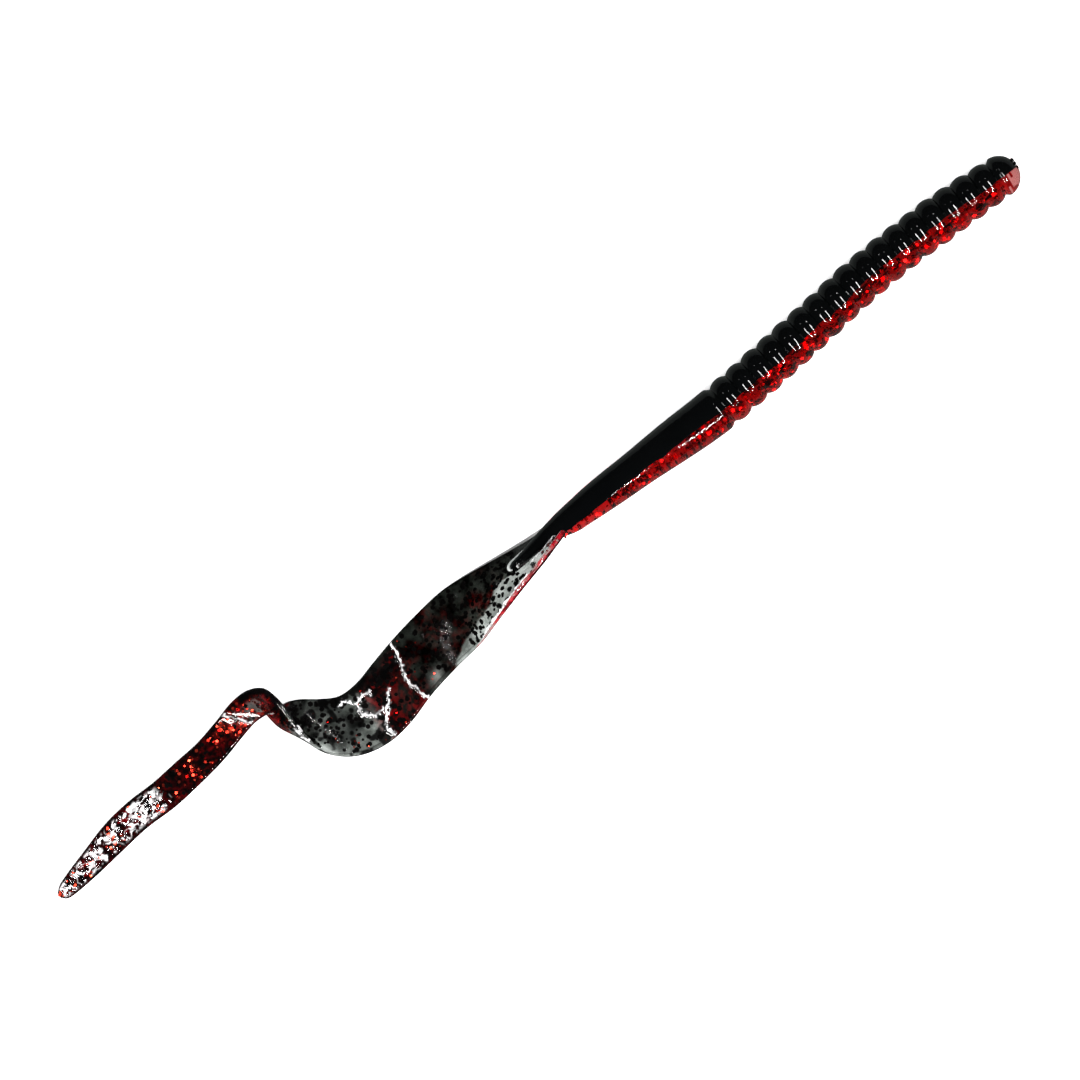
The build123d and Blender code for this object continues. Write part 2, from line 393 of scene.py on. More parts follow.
def stretched(material, output, low, high):
    """The output stretched so that low becomes 0 and high becomes 1."""
    node = add(material, "ShaderNodeMapRange", From_Min=low, From_Max=high)
    join(material, output, node.inputs["Value"])
    return node.outputs["Result"]


def smoke_stain(material, specks):
    """Colour of the ribbon's plastic: smoky, red, clear and pale, or black, with clouds and specks. Some of
    the pale is a painted reflection and some of the black painted shade.
    """
    clouds = stretched(material, noise_texture(material, 230.0, Detail=6.0, Roughness=0.62), 0.43, 0.66)
    smoke = blend(material, clouds, (0.0010, 0.0014, 0.0010), (0.075, 0.088, 0.075))
    pale = blend(material, clouds, (0.24, 0.26, 0.245), (0.55, 0.575, 0.555))
    maroon = blend(material, specks, (0.010, 0.0003, 0.0006), (0.26, 0.003, 0.006))
    maroon = blend(material, attribute(material, "glow"), maroon, (0.36, 0.002, 0.006))
    stain = blend(material, attribute(material, "blood"), smoke, maroon)
    stain = blend(material, attribute(material, "clear"), stain, pale)
    return blend(material, attribute(material, "ink_and_shade"), stain, (0.002, 0.0015, 0.0018))


def smoke_clear():
    """The ribbon: clear plastic stained smoky and red in clouds, with painted white highlights along its
    creases.

    The mesh's attributes, from 0 to 1, say how it looks at each point. clear, blood and ink are its
    stains, though part of the ink is painted shade and part of the clear a painted reflection, and glow
    is where the red one lets more light through. upper is how much less the face stains what is seen
    through it. gloss is how shiny it is. The opaque layer's share is painted white highlights on the
    creases and wrinkles, plus the red plastic along edge B; rim turns that white to red, and to pink on
    the tip's painted highlights.
    """
    material = new_material("smoke_ribbon")
    specks = stretched(material, noise_texture(material, 900.0, Detail=3.0), 0.42, 0.62)
    stain = blend(material, attribute(material, "upper"), smoke_stain(material, specks), (1.0, 1.0, 1.0))
    through = add(material, "ShaderNodeBsdfTransparent")
    join(material, stain, through.inputs["Color"])

    gloss = add(material, "ShaderNodeBsdfGlossy", Roughness=0.07)
    fresnel = add(material, "ShaderNodeFresnel", IOR=1.42)
    join(material, grain(material, 0.8, 0.03), gloss.inputs["Normal"], fresnel.inputs["Normal"])
    side = add(material, "ShaderNodeNewGeometry")
    front = maths(material, "SUBTRACT", 1.0, side.outputs["Backfacing"])
    front_gloss = maths(material, "MULTIPLY", front, attribute(material, "gloss"))
    shine = maths(material, "MULTIPLY", fresnel.outputs["Fac"], front_gloss)
    plastic = mixed(material, shine, through, gloss)

    # Painted highlights: an opaque white layer over the creases and the tip's wrinkles, turned red where it
    # is the red plastic along edge B
    highlight_and_red_edge = add(material, "ShaderNodeBsdfPrincipled", Roughness=0.25, Coat_Weight=0.6)
    white = blend(material, attribute(material, "rim"), (0.97, 0.96, 0.97), (0.30, 0.003, 0.010))
    join(material, white, highlight_and_red_edge.inputs["Base Color"])
    speckled = maths(material, "ADD", specks, 0.35)
    highlight_and_red_share = maths(material, "MULTIPLY", attribute(material, "highlight_and_red_edge"), speckled)
    return finish_material(material, mixed(material, highlight_and_red_share, plastic, highlight_and_red_edge))


def foil(name, dull, bright, metal, rough, specular=0.5):
    """Glitter foil: each flake has its own shade."""
    material = new_material(name)
    shader = add(
        material,
        "ShaderNodeBsdfPrincipled",
        Metallic=metal,
        Roughness=rough,
        Specular_IOR_Level=specular,
    )
    shade = two_shades(material, attribute(material, "shade"), dull, bright)
    join(material, shade, shader.inputs["Base Color"])
    return finish_material(material, shader)


def pale_plastic():
    """Pale grey plastic with clouds, for the bead round the black core's end."""
    material = new_material("pale_fillet")
    shader = add(material, "ShaderNodeBsdfPrincipled", Roughness=0.2, Coat_Weight=0.5)
    cloud = noise_texture(material, 700.0, Detail=3.0)
    shade = two_shades(material, cloud, (0.12, 0.13, 0.125), (0.75, 0.78, 0.76))
    join(material, shade, shader.inputs["Base Color"])
    return finish_material(material, shader)


BLACK = black_plastic()
PALE = pale_plastic()
BLACK_SEAM = black_core()
RED = red_clear("red_belly", (0.95, 0.75, 0.75), 0.04, 1.0)
RED_PALE = red_clear("red_nose", (0.50, 0.17, 0.16), 0.2, 0.65)
RED_SEAM = inner_face("red_seam", True)
SMOKE = smoke_clear()
SMOKE_SEAM = inner_face("smoke_seam", False)
RED_FOIL = foil("red_foil", (0.16, 0.001, 0.002), (0.72, 0.012, 0.010), 1.0, 0.3)
GLINT_FOIL = foil("glint_foil", (0.60, 0.004, 0.004), (1.0, 0.11, 0.05), 1.0, 0.22)
DARK_FOIL = foil("dark_foil", (0.0004, 0.0003, 0.0003), (0.002, 0.0015, 0.0015), 0.0, 0.9, 0.05)

# ---------------------------------------------------------------- round body

# The core's line: the body's axis, and behind it the middle of the ribbon's first stretch
core_line = list(axis_points)
core_up = [np.array([0, -math.sin(lean), math.cos(lean)]) for lean in np.radians(SEAM_LEANS)]
for a, b, _ in RIBBON[1:5]:
    core_line.append((np.array(a) + np.array(b)) / 2)
    core_up.append(unit(np.array(b) - np.array(a)))
core_line = np.array(core_line[::-1])
core_up = np.array(core_up[::-1])


def core_frame(x):
    """Centre, seam direction and back direction of the round body at each x."""
    x = np.atleast_1d(np.asarray(x, float))
    yz = smooth_curve(core_line[:, 0], core_line[:, 1:], x)
    ahead = smooth_curve(core_line[:, 0], core_line[:, 1:], x + 0.5)
    behind = smooth_curve(core_line[:, 0], core_line[:, 1:], x - 0.5)
    forward = unit(np.column_stack([np.ones_like(x), ahead - behind]))
    up = smooth_curve(core_line[:, 0], core_up, x)
    up = unit(up - forward * np.sum(up * forward, axis=1, keepdims=True))
    return np.column_stack([x, yz]), up, np.cross(up, forward)


def find_grooves():
    """x of each groove, from the nose lobe to the shank."""
    found = [nose_x - NOSE_LOBE]
    ring_hinges = hinge_x[1 : len(RINGS) + 1]
    for front, rear in zip([found[0], *ring_hinges], [*ring_hinges, shank_x]):
        count = round((front - rear) / RING_PITCH)
        found += [front + (rear - front) * (i + 1) / count for i in range(count)]
    return found


grooves = find_grooves()
ring_sway = rng.uniform(-0.06, 0.06, len(grooves))
NOSE_PALE_FROM = grooves[0] + 1.2  # ahead of this the red half is pale and streaky, with no glitter


def rounded(radius, to_end):
    """Radius at a distance from the end of a rod that ends in a dome."""
    return math.sqrt(max(radius**2 - max(radius - to_end, 0.0) ** 2, 0.0))


def ring_radius(x, ring):
    """Radius in one ring, whose outline is an arc from groove to groove."""
    front, rear = grooves[ring - 1], grooves[ring]
    half = (front - rear) / 2
    off = (x - (front + rear) / 2) * GROOVE_EASE
    arc = (half**2 + GROOVE_DEPTH**2) / (2 * GROOVE_DEPTH)
    crest = min(RING_CREST, NOSE_CREST + CREST_STEP * ring) + ring_sway[ring]
    return crest - arc + math.sqrt(arc**2 - off**2)


def shank_radius(x):
    """Radius in the smooth taper behind the last groove."""
    wide, middle, thin = SHANK_RADII
    front_half, rear_half = (wide + middle) / 2 + SHANK_BULGE, (middle + thin) / 2 + SHANK_BULGE
    knots = [core_x, (core_x + shank_middle_x) / 2, shank_middle_x, (shank_middle_x + shank_x) / 2, shank_x]
    radii = [thin, rear_half, middle + SHANK_WAIST, front_half, wide]
    shoulder = rise(x, grooves[-1] - SHOULDER_LENGTH, grooves[-1]) ** 2 * SHOULDER_DEPTH
    return float(smooth_curve(knots, radii, [x])[0]) - shoulder


def body_radius(x):
    """Radius of the round body at one x."""
    if x > grooves[0]:
        neck = rise(x, grooves[0] + NECK_LENGTH, grooves[0]) ** 2 * NECK_DEPTH
        return rounded(NOSE_DOME, max(nose_x - x, 0.0)) - neck
    for ring, rear in enumerate(grooves[1:], start=1):
        if x >= rear:
            return ring_radius(x, ring)
    if x >= core_x:
        return shank_radius(x)
    thin = SHANK_RADII[2]
    radius = thin + (CORE_END_RADIUS - thin) * (core_x - x) / CORE_LENGTH
    return rounded(radius, max(x - core_end_x, 0.0))


STATION_STEP = 0.35
STATIONS_AT_LEAST = 16  # between two grooves


def body_stations(high, low):
    """x values from high to low, closest together at the grooves and the rounded ends."""
    marks = sorted({high, low, *(g for g in grooves if low < g < high)}, reverse=True)
    xs = []
    for a, b in zip(marks, marks[1:]):
        count = max(STATIONS_AT_LEAST, int((a - b) / STATION_STEP))
        xs += list(b + (a - b) * (1 + np.cos(np.linspace(0, math.pi, count + 1)[:-1])) / 2)
    return np.array(xs + [low])


def half_outline(xs, side):
    """Points round one half of the body at each x: its arc, then the flat seam back to the start."""
    centre, up, back = core_frame(xs)
    radius = np.array([body_radius(x) for x in xs])
    line = np.column_stack([xs, np.zeros_like(xs), np.zeros_like(xs)])
    top = 0.09 * noise(line, 2.1) + 0.05 * noise(line, 6.0, 3.0)
    bottom = math.pi + 0.09 * noise(line, 2.3, 11.0)
    if side < 0:
        radius = radius * np.maximum(rise(xs, BELLY_END, BELLY_END + BELLY_TAPER), 0.02)
        top, bottom = bottom, top + 2 * math.pi
    angles = top[:, None] + (bottom - top)[:, None] * np.linspace(0, 1, AROUND + 1)
    out = np.cos(angles)[..., None] * up[:, None] + np.sin(angles)[..., None] * back[:, None]
    arc = centre[:, None] + out * radius[:, None, None]
    arc += out * (0.01 * noise(arc, 1.7, 5.0) + 0.04 * noise(arc, 5.0, 9.0))[..., None]
    seam_share = np.linspace(1, 0, 9)[1:-1]
    seam = arc[:, :1] + (arc[:, -1:] - arc[:, :1]) * seam_share[None, :, None]
    outline = np.concatenate([arc, seam], axis=1) + side * SEAM_GAP / 2 * back[:, None]
    outline[..., 2] = np.maximum(outline[..., 2], FLOOR_GAP)
    return outline


def half_body(name, high, low, side):
    """One half of the round body between two x values: side is 1 for the back, -1 for the belly."""
    xs = body_stations(high, low)
    outline = half_outline(xs, side)
    rows, count = outline.shape[:2]
    slots = np.zeros((rows - 1, count), int)
    if side < 0:
        streaky = noise(outline * np.array([1.0, 0.3, 0.3]), 0.7, 50.0) > -0.1
        slots[(streaky & (xs[:, None] > NOSE_PALE_FROM))[:-1]] = 2
    slots[:, AROUND:] = 1
    materials = [BLACK, BLACK_SEAM] if side > 0 else [RED, RED_SEAM, RED_PALE]
    faces = tube_faces(rows, count)
    return make_mesh(name, outline.reshape(-1, 3), faces, materials, [*slots.ravel(), 1, 1])


def body_cuts():
    """x where one body piece ends and the next begins: a groove one ring behind each hinge, or mid shank."""
    ring_hinges = hinge_x[1 : len(RINGS) + 1]
    behind = [min(grooves, key=lambda groove: abs(groove - (x - RING_PITCH))) for x in ring_hinges]
    return [nose_x, *behind, (shank_x + shank_middle_x) / 2, (shank_middle_x + core_x) / 2, core_end_x]


def bend(piece):
    """Bakes the piece's place into its mesh."""
    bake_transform(piece)


cuts = body_cuts()
CUT_GAP = 0.015  # the red pieces stop this far short of their cuts, so that their clear ends don't meet
for i, body in enumerate(BODY_CHAIN[1:]):
    for side, word in ((1, "back"), (-1, "belly")):
        gap = CUT_GAP if side < 0 else 0.0
        piece = half_body(f"skin_{body}_{word}", cuts[i] - (gap if i else 0), cuts[i + 1] + gap, side)
        replaced = [f"{body}_{word}"] + ([f"head_{word}"] if i == 0 else [])
        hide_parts(*replaced)
        bend(piece)

# ---------------------------------------------------------------- ribbon

edge_a = np.array([row[0] for row in RIBBON])
edge_b = np.array([row[1] for row in RIBBON])
bows = np.array([row[2] for row in RIBBON])
places = np.arange(len(RIBBON))
BOW_PEAK = 4.5  # a bow of 1 at a third of the width is a parabola this many times v(1 - v)


def ribbon_mid(u, v):
    """Point on the ribbon's middle surface: u along it in steps of RIBBON, v across it from 0 to 1."""
    a = smooth_curve(places, edge_a, u)
    b = smooth_curve(places, edge_b, u)
    bow = smooth_curve(places, bows, u)
    v = np.asarray(v, float)[..., None]
    return a * (1 - v) + b * v + bow * BOW_PEAK * v * (1 - v)


def ribbon_normal(u, v):
    """Direction at right angles to the ribbon's middle surface."""
    along = ribbon_mid(u + 0.03, v) - ribbon_mid(u - 0.03, v)
    across = ribbon_mid(u, np.minimum(v + 0.01, 1)) - ribbon_mid(u, np.maximum(v - 0.01, 0))
    return unit(np.cross(along, across))


def ribbon_width(u):
    """Distance from edge A to edge B."""
    return np.linalg.norm(ribbon_mid(u, np.ones_like(u)) - ribbon_mid(u, np.zeros_like(u)), axis=-1)


def ribbon_centre(u):
    """Point half way between the edges."""
    return ribbon_mid(u, np.full_like(u, 0.5))


def ribbon_length(us):
    """Length of the ribbon's centre line through the places us."""
    return np.linalg.norm(np.diff(ribbon_centre(us), axis=0), axis=1).sum()


# Creases as lines of (u, v), with their height in mm and how strong the painted highlight along them is
CREASES = [
    ([(7.2, 0.0), (7.3, 0.32), (7.42, 0.58), (7.32, 0.78), (7.2, 1.0)], 0.30, 1.0),
    ([(8.08, 0.45), (8.6, 0.62), (8.94, 0.81), (8.86, 0.97)], 0.26, 0.9),
    ([(8.76, 0.24), (9.2, 0.2), (9.48, 0.23), (9.56, 0.42), (9.1, 0.55), (8.6, 0.57)], 0.24, 0.9),
    ([(9.5, 0.24), (9.9, 0.12), (10.2, 0.14)], 0.16, 0.5),
    ([(19.05, 0.1), (19.25, 0.4), (19.45, 0.7), (19.62, 0.97)], 0.26, 0.9),
    ([(14.05, 0.965), (13.7, 0.97), (13.1, 0.975)], 0.10, 1.0),
    ([(2.6, 0.962), (3.3, 0.962), (4.2, 0.973), (4.8, 0.976)], 0.10, 1.2),
    ([(0.9, 0.80), (1.6, 0.82), (2.3, 0.80)], 0.10, 0.9),
]
CREASE_WIDTH = 0.15


def crease_field(u, v, where):
    """Height of the creases at each point of the ribbon, and the painted white highlight along them, with
    ragged lines.
    """
    width = ribbon_width(u)
    ragged_u = u + 0.05 * noise(where, 0.55, 2.0) + 0.05 * noise(where, 2.2, 4.0)
    ragged_v = v + 0.5 * noise(where, 0.6, 6.0) / np.maximum(width, 1)
    step = np.linalg.norm(ribbon_centre(u + 0.5) - ribbon_centre(u - 0.5), axis=-1)
    patchy = 0.85 + 0.6 * noise(where, 1.4, 8.0)
    # Painted highlight specks scattered close to the creases
    specks = 0.8 * rise(noise(where, 0.45, 81.0), 0.38, 0.5)
    height = np.zeros_like(u)
    highlight_and_red_edge = np.zeros_like(u)
    for line, tall, white in CREASES:
        nearest = np.full_like(u, 1e9)
        for (u0, v0), (u1, v1) in zip(line, line[1:]):
            du, dv = (u1 - u0) * step, (v1 - v0) * width
            pu, pv = (ragged_u - u0) * step, (ragged_v - v0) * width
            t = np.clip((pu * du + pv * dv) / np.maximum(du**2 + dv**2, 1e-6), 0, 1)
            nearest = np.minimum(nearest, np.hypot(pu - t * du, pv - t * dv))
        height += tall * np.exp(-((nearest / (1.6 * CREASE_WIDTH)) ** 2))
        line_highlight = patchy * rise(nearest, 1.35 * CREASE_WIDTH, 0.75 * CREASE_WIDTH)
        highlight_and_red_edge = most(highlight_and_red_edge, white * line_highlight, white * specks * rise(nearest, 0.8, 0.3))
    return height, highlight_and_red_edge


def most(*layers):
    """The largest of the layers at each point."""
    return np.maximum.reduce(layers)


def spot(u, v, at, half_length, half_width):
    """1 in the middle of a soft oval at (u, v), fading out round it."""
    return np.exp(-(((u - at[0]) / half_length) ** 2) - ((v - at[1]) / half_width) ** 2)


def wedge(u):
    """v of the line between the ribbon's dark side and the clear strip along edge B."""
    stations = [0.0, 2.6, 3.5, 4.1, 4.6, 5.3, 5.95, 6.2]
    return np.interp(u, stations, [0.52, 0.50, 0.46, 0.68, 0.71, 0.78, 0.91, 1.05])


def red_edge(u, v, where):
    """1 on the red plastic that runs on along edge B from the end of the red half."""
    red_from = np.interp(u, [0, 1.0, 2.4, 3.3, 4.2, 5.2, 5.6], [0.90, 0.93, 0.967, 0.975, 0.982, 0.988, 1.05])
    red_from = red_from + 0.006 * noise(where, 1.5, 12.0)
    return rise(v, red_from - 0.006, red_from + 0.006) * rise(u, 5.6, 5.2)


def red_glow(u, where):
    """1 in the spots where the red stain is clear and lets light through."""
    spots = noise(where, 2.2, 90.0) + 0.6 * noise(where, 0.8, 91.0)
    return rise(spots, 0.32, 0.75) * np.maximum(window(u, 7.3, 9.1, 0.2), rise(u, 18.8, 19.5))


def stains(u, v, where):
    """How the ribbon is stained at each point: clear, blood (red) and ink (black), each 0 to 1. Part of the
    ink is painted shade, and part of the clear a painted reflection.
    """
    from_b = (1 - v) * ribbon_width(u)
    from_edge = np.minimum(v, 1 - v) * ribbon_width(u)
    cloud = noise(where, 4.5, 1.0)
    fine = noise(where, 1.5, 12.0)
    ragged = v + 0.03 * fine + 0.02 * cloud
    red_rim = red_edge(u, v, where)

    # Clear and pale: the wedge on edge B, two spots, the wide part's end, and a painted reflection inside the
    # fold
    wide_end = window(u, 9.15, 13.0, 0.5) * (0.45 + 0.6 * cloud + 0.25 * fine)
    clear = most(
        rise(ragged, wedge(u) - 0.02, wedge(u) + 0.02) * rise(u, 6.2, 5.9),
        0.8 * spot(u, v, (6.65, 0.86), 0.28, 0.1),
        spot(u, v, (9.45, 0.62), 0.42, 0.13) * (0.85 + 0.5 * fine),
        wide_end * (1 - 0.6 * rise(v, 0.35, 0.05) * rise(u, 11.5, 10.5)),
        # Painted reflection: the grey sheen on the fold's inner face, drawn as a paler stain
        0.65 * window(u, 17.8, 18.75, 0.35) * rise(v, 0.7, 0.52) * rise(v, 0.02, 0.15),
    )

    # Red: the patch between the creases, clouds ahead of it, the narrow part, and the edge
    blood = most(
        window(u, 7.25, 9.2, 0.15) * (0.75 + 0.4 * cloud) * rise(v, 0.02, 0.2),
        0.6 * window(u, 5.2, 7.2, 0.5) * np.clip(0.25 + 0.6 * fine, 0, 1) * rise(v, 0.1, 0.4),
        window(u, 3.6, 6.0, 0.5) * np.clip(0.15 + 0.5 * cloud, 0, 1),
        0.95 * rise(u, 13.0, 13.8),
        red_rim,
    )

    # Black: a painted shadow in a band by the tail root, the side beside the core, the fold's far side, a
    # spot in the red patch, blots on the wide part's end, and the narrow part
    band_low = np.interp(u, [0, 1.2, 2.4, 3.3, 4.2], [0.80, 0.84, 0.82, 0.865, 0.935])
    band_high = np.interp(u, [0, 2.4, 3.3, 4.2], [0.93, 0.955, 0.955, 0.965])
    blots = rise(noise(where, 1.7, 40.0) + 0.4 * noise(where, 0.7, 41.0), 0.16, 0.34)
    ink_and_shade = most(
        # Painted shadow: the band beside the core's end
        window(ragged, band_low, band_high, 0.012) * rise(u, 4.5, 4.1),
        rise(v, 0.45, 0.25) * rise(u, 4.6, 3.0) * (0.75 + 0.3 * cloud),
        window(u, 12.9, 19.0, 0.35) * rise(v, 0.66, 0.80) * (1 - 0.8 * rise(u, 18.6, 19.0)),
        window(u, 7.35, 8.9, 0.15) * np.exp(-(((v - 0.22) / 0.16) ** 2)),
        0.9 * blots * window(u, 8.9, 13.0, 0.4),
        rise(u, 18.9, 19.6) * (0.55 + 0.5 * fine + 0.3 * cloud),
    )
    # On top of the red glow: the narrow part's rims, and painted shade along the rounded rims: a thin dark
    # line on both edges, and one inside edge B
    ink_and_shade = most(
        ink_and_shade * (1 - 0.9 * red_glow(u, where)),
        0.55 * rise(u, 19.0, 19.8) * rise(from_edge, 0.95, 0.7),
        # Painted shade: dark lines where the rounded rims would bend the light away
        0.9 * rise(from_edge, 0.24, 0.10) * (1 - red_rim),
        0.5 * window(from_b, 0.75, 0.9, 0.08) * window(u, 4.6, 12.0, 0.4),
    )
    return [np.clip(stain, 0, 1) for stain in (clear * (1 - red_rim), blood, ink_and_shade)]


def tip_wrinkles(u, v, where):
    """Height of the fine wrinkles on the ribbon's last stretch, and the white painted highlight on them."""
    ragged = window(u, 23.65, 26.8, 1.1) + 0.5 * noise(where, 3.0, 35.0)
    zone = rise(ragged, 0.4, 0.7) * rise(np.abs(v - 0.5), 0.42, 0.30)
    folds = np.abs(noise(where, 1.3, 15.0)) + 0.5 * np.abs(noise(where, 0.6, 16.0))
    speckle = noise(where, 1.2, 17.0) + 0.8 * noise(where, 0.42, 18.0) + 0.5 * noise(where, 4.0, 20.0)
    threads = rise(np.abs(noise(where, 1.3, 31.0) + 0.35 * noise(where, 0.5, 32.0)), 0.11, 0.03)
    highlight_and_red_edge = zone * most(0.85 * rise(speckle, 0.30, 0.55), 0.9 * threads)
    return zone * 0.16 * (1 - folds * 1.6), highlight_and_red_edge


RIM = 0.7  # width of the ribbon's rounded rims
RIM_STEPS = np.array([0.0, 0.015, 0.05, 0.11, 0.2, 0.32, 0.48, RIM])
MESH_STEP = 0.18
FINE_FROM = 23  # the wrinkled stretch, from this station on, has a finer mesh
FINE_STEP = 0.14
UPPER_CLEARNESS = 0.55  # the face that looks up stains this much less, so that the stain isn't seen twice


def ribbon_grid(u0, u1):
    """u and v of the mesh's rows and columns on one stretch, closest together at the rims."""
    step = FINE_STEP if u0 > FINE_FROM else MESH_STEP
    us = np.linspace(u0, u1, int(ribbon_length(np.linspace(u0, u1, 400)) / step) + 2)
    width = ribbon_width(us)[:, None]
    inner = np.linspace(0, 1, int(width.max() / (step * 1.1)) + 2)[1:-1]
    near = RIM_STEPS / RIM * np.minimum(RIM, 0.49 * width) / width
    middle = near[:, -1:] + (1 - 2 * near[:, -1:]) * inner
    v = np.concatenate([near, middle, 1 - near[:, ::-1]], axis=1)
    return np.repeat(us[:, None], v.shape[1], axis=1), v


def around(top, low):
    """Values for a closed ring of points: across the top face, and back along the low one."""
    return np.concatenate([top, low[:, ::-1][:, 1:-1]], axis=1)


def ribbon_piece(name, u0, u1):
    """One stretch of the ribbon with rounded rims, creases and stains."""
    u, v = ribbon_grid(u0, u1)
    mid = ribbon_mid(u, v)
    normal = ribbon_normal(u, v)
    to_edge = np.minimum(v, 1 - v) * ribbon_width(u)
    to_tip = np.linalg.norm(ribbon_centre(u) - ribbon_centre(np.full_like(u, places[-1])), axis=-1)
    inside = np.clip(np.minimum(to_edge, to_tip) / RIM, 0, 1)
    round_off = np.sqrt(1 - (1 - inside) ** 2)

    # Creases and their painted highlights are on whichever face looks up; the waves are on both
    looks_up = normal[..., 2] >= 0
    crease, crease_highlight = crease_field(u, v, mid)
    wrinkle, tip_highlight = tip_wrinkles(u, v, mid)
    relief = crease + wrinkle
    waves = 0.09 * noise(mid, 3.5, 21.0) + 0.03 * noise(mid, 1.2, 22.0)
    half = RIBBON_THICKNESS / 2
    top = mid + normal * ((half + waves + relief * looks_up) * round_off)[..., None]
    low = mid - normal * ((half - 0.5 * waves + relief * ~looks_up) * round_off)[..., None]
    ring = around(top, low)
    ring[..., 2] = np.maximum(ring[..., 2], FLOOR_GAP)

    clear, blood, ink_and_shade = stains(u, v, mid)
    red_rim = red_edge(u, v, mid)
    is_red = red_rim > 0.3
    # The opaque layer: painted highlights of the creases and wrinkles, and the red edge's own red plastic
    highlight_and_red_edge = most(np.where(is_red, 0.3 * crease_highlight, most(crease_highlight, tip_highlight)), 0.6 * red_rim)
    matt = 0.94 * window(u, 2.6, 7.2, 0.2) + 0.9 * window(u, 9.9, 13.0, 0.3)
    # The tip's painted highlight is tinted pink in places
    highlight_pink = 0.2 * (tip_highlight > 0) * rise(noise(mid, 1.1, 60.0), -0.1, 0.3)
    on_upper = around(looks_up, ~looks_up)
    attributes = {
        "clear": around(clear, clear),
        "blood": around(blood, blood),
        "ink_and_shade": around(ink_and_shade, ink_and_shade),
        "highlight_and_red_edge": around(highlight_and_red_edge, highlight_and_red_edge) * on_upper,
        "glow": around(red_glow(u, mid), red_glow(u, mid)),
        "upper": UPPER_CLEARNESS * on_upper,
        "gloss": around(1 - matt, 1 - matt),
        "rim": around(most(is_red, highlight_pink), most(is_red, highlight_pink)),
    }
    rows, count = ring.shape[:2]
    faces = tube_faces(rows, count)
    far_end = 0 if u1 == places[-1] else 1
    slots = [0] * (len(faces) - 2) + [1, far_end]
    return make_mesh(name, ring.reshape(-1, 3), faces, [SMOKE, SMOKE_SEAM], slots, attributes=attributes)


ribbon_bodies = list(RIBBON_HINGES)
starts = list(RIBBON_HINGES.values())
RIBBON_START = 0.1
ribbon_cuts = [RIBBON_START, *((a + b) / 2 for a, b in zip(starts, starts[1:])), places[-1]]
for i, body in enumerate(ribbon_bodies):
    piece = ribbon_piece(f"skin_{body}", ribbon_cuts[i], ribbon_cuts[i + 1])
    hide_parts(body, *(["tail_root_web"] if i == 0 else []))
    bend(piece)

# ---------------------------------------------------------------- glitter

FLAKE = 0.9
FLAKE_THICKNESS = 0.04
FLAKE_SIDES = 6


def flakes(name, centres, normals, sizes, material):
    """Thin six-sided glitter flakes, each its own closed prism."""
    count = len(centres)
    n = FLAKE_SIDES
    side = unit(np.cross(normals, rng.normal(size=(count, 3))))
    other = np.cross(normals, side)
    turn = np.arange(n) * 2 * math.pi / n
    rim = side[:, None] * np.cos(turn)[None, :, None] + other[:, None] * np.sin(turn)[None, :, None]
    rim = centres[:, None] + rim * (sizes / 2)[:, None, None]
    lift = normals[:, None] * FLAKE_THICKNESS / 2
    points = np.concatenate([rim - lift, rim + lift], axis=1)
    points[..., 2] = np.maximum(points[..., 2], FLOOR_GAP)
    faces = []
    for base in range(0, 2 * n * count, 2 * n):
        faces.append([base + k for k in range(n - 1, -1, -1)])
        faces.append([base + n + k for k in range(n)])
        faces += [(base + k, base + (k + 1) % n, base + n + (k + 1) % n, base + n + k) for k in range(n)]
    attributes = {"shade": np.repeat(rng.uniform(0, 1, count), 2 * n)}
    return make_mesh(name, points.reshape(-1, 3), faces, [material], smooth=False, attributes=attributes)


BELLY_FLAKES = 0.55  # for each cubic millimetre


def belly_glitter(body, high, low):
    """Red flakes all through the red half between two x values."""
    area = np.mean([body_radius(x) ** 2 for x in np.linspace(low, high, 60)]) * math.pi / 2
    count = int(area * (high - low) * BELLY_FLAKES)
    x = rng.uniform(low, high, count)
    centre, up, back = core_frame(x)
    radius = np.array([body_radius(each) for each in x])
    out = np.maximum(radius - 0.5, 0.1) * rng.uniform(0, 1, count) ** 0.4
    angle = rng.uniform(0.04, math.pi - 0.04, count)
    where = centre + up * (np.cos(angle) * out)[:, None] - back * (np.sin(angle) * out + 0.12)[:, None]
    normals = unit(rng.normal(size=(count, 3)) * np.array([0.7, 1.0, 1.0]) + np.array([0, 0, 0.6]))
    sizes = FLAKE * rng.uniform(0.6, 1.0, count)
    keep = x < NOSE_PALE_FROM
    return flakes(f"glitter_{body}", where[keep], normals[keep], sizes[keep], RED_FOIL)


for i, body in enumerate(BODY_CHAIN[1:]):
    from_front = 0.9 if i == 0 else 0.2
    from_rear = 6.5 if body == "tail_root" else 0.2
    piece = belly_glitter(body, cuts[i] - from_front, cuts[i + 1] + from_rear)
    bend(piece)

# How many flakes for each square millimetre of ribbon: red first, then dark
RIBBON_FLAKES = {
    "ribbon_wide_1": (0.0, 0.75),
    "ribbon_wide_2": (0.0, 0.80),
    "ribbon_wide_3": (0.10, 0.55),
    "ribbon_fold": (0.16, 0.75),
    "ribbon_narrow_1": (2.3, 0.2),
    "ribbon_narrow_2": (2.3, 0.2),
    "ribbon_narrow_3": (1.7, 0.2),
    "ribbon_tip": (1.2, 0.2),
}
FLAKES_FROM = 2.2  # no flakes show in the ribbon ahead of this station
LARGER_FROM = 13  # behind this station the red flakes are larger


